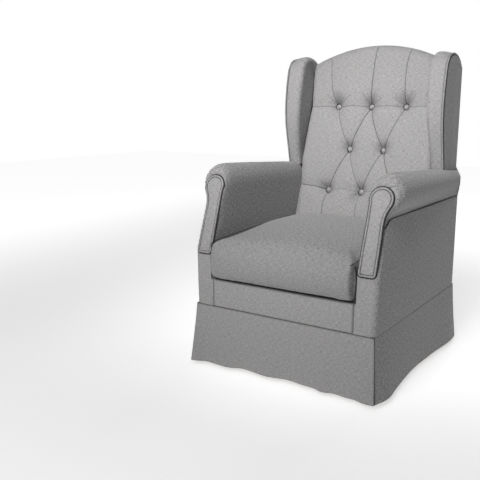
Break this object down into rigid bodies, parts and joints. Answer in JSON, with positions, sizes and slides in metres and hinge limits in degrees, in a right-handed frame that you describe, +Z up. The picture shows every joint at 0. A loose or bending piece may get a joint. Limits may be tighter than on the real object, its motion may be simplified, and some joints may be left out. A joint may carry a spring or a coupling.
{
  "type": "glider nursery chair",
  "caption": "Upholstered wingback nursery chair with rolled arms, a button-tufted back and a floor-length skirt, gliding fore and aft on a hidden hanging-link base.",
  "frame": {"origin": "centre of the footprint on the floor", "axes": "+Z up; the chair faces -Y; X runs across the seat, left arm at -X as seen from the front"},
  "size_m": [0.7256, 0.785, 1.124],
  "materials": {
    "upholstery": "heathered mid-grey plain weave",
    "piping": "same weave wrapped round a welt cord",
    "button_cover": "same weave pulled over button blanks",
    "skirt_cloth": "same weave, single hanging layer",
    "deck_pad": "bonded felt pad",
    "webbing": "woven jute-look strap",
    "lining": "thin non-woven lining",
    "frame_wood": "unfinished softwood",
    "glide_steel": "satin black powder coat",
    "zinc": "zinc plated",
    "bush_plastic": "natural acetal",
    "black_plastic": "moulded",
    "rubber": "moulded rubber"
  },
  "bodies": {
    "base": {"base_feet": "rubber", "left_floor_runner": "glide_steel", "right_floor_runner": "glide_steel", "runner_end_caps": "black_plastic", "base_cross_tubes": "glide_steel", "bump_stops": "rubber", "upper_pivot_pins": "zinc", "upper_pivot_nuts": "zinc", "upper_spacers": "zinc"},
    "front_left_link": {"front_left_link": "glide_steel", "front_left_link_bushes": "bush_plastic"},
    "front_right_link": {"front_right_link": "glide_steel", "front_right_link_bushes": "bush_plastic"},
    "rear_left_link": {"rear_left_link": "glide_steel", "rear_left_link_bushes": "bush_plastic"},
    "rear_right_link": {"rear_right_link": "glide_steel", "rear_right_link_bushes": "bush_plastic"},
    "chair": {"left_carriage_rail": "glide_steel", "right_carriage_rail": "glide_steel", "lower_pivot_pins": "zinc", "lower_pivot_clips": "zinc", "lower_spacers": "zinc", "carriage_bolts": "zinc", "button_anchors": "zinc", "cross_slats": "frame_wood", "left_side_rail": "frame_wood", "right_side_rail": "frame_wood", "end_rails": "frame_wood", "corner_blocks": "frame_wood", "arm_frames": "frame_wood", "left_back_post": "frame_wood", "right_back_post": "frame_wood", "back_top_rail": "frame_wood", "back_lower_rail": "frame_wood", "wing_boards": "frame_wood", "seat_webbing": "webbing", "back_webbing": "webbing", "button_twines": "webbing", "dust_cover": "lining", "seat_deck": "deck_pad", "seat_cushion": "upholstery", "front_panel": "upholstery", "arm_front_covers": "upholstery", "right_arm_pad": "upholstery", "left_arm_pad": "upholstery", "right_arm_facing": "upholstery", "left_arm_facing": "upholstery", "side_panels": "upholstery", "back_pad": "upholstery", "right_wing_pad": "upholstery", "left_wing_pad": "upholstery", "wing_outer_panels": "upholstery", "outside_back_panel": "upholstery", "facing_pipings": "piping", "wing_pipings": "piping", "tufting_buttons": "button_cover", "front_skirt": "skirt_cloth", "rear_skirt": "skirt_cloth", "left_skirt": "skirt_cloth", "right_skirt": "skirt_cloth"}
  },
  "joints": [
    {"name": "front_left_link_swing", "type": "hinge", "parent": "base", "child": "front_left_link", "pos_m": [-0.218, -0.15, 0.185], "axis": [1, 0, 0], "range_deg": [-25, 25]},
    {"name": "front_right_link_swing", "type": "hinge", "parent": "base", "child": "front_right_link", "pos_m": [0.218, -0.15, 0.185], "axis": [1, 0, 0], "range_deg": [-25, 25]},
    {"name": "rear_left_link_swing", "type": "hinge", "parent": "base", "child": "rear_left_link", "pos_m": [-0.218, 0.15, 0.185], "axis": [1, 0, 0], "range_deg": [-25, 25]},
    {"name": "rear_right_link_swing", "type": "hinge", "parent": "base", "child": "rear_right_link", "pos_m": [0.218, 0.15, 0.185], "axis": [1, 0, 0], "range_deg": [-25, 25]},
    {"name": "seat_level", "type": "hinge", "parent": "front_left_link", "child": "chair", "pos_m": [-0.218, -0.15, 0.06], "axis": [1, 0, 0], "range_deg": [-25, 25]}
  ],
  "couplings": [
    {"joint": "front_right_link_swing", "follows": "front_left_link_swing", "ratio": 1},
    {"joint": "rear_left_link_swing", "follows": "front_left_link_swing", "ratio": 1},
    {"joint": "rear_right_link_swing", "follows": "front_left_link_swing", "ratio": 1},
    {"joint": "seat_level", "follows": "front_left_link_swing", "ratio": -1}
  ]
}
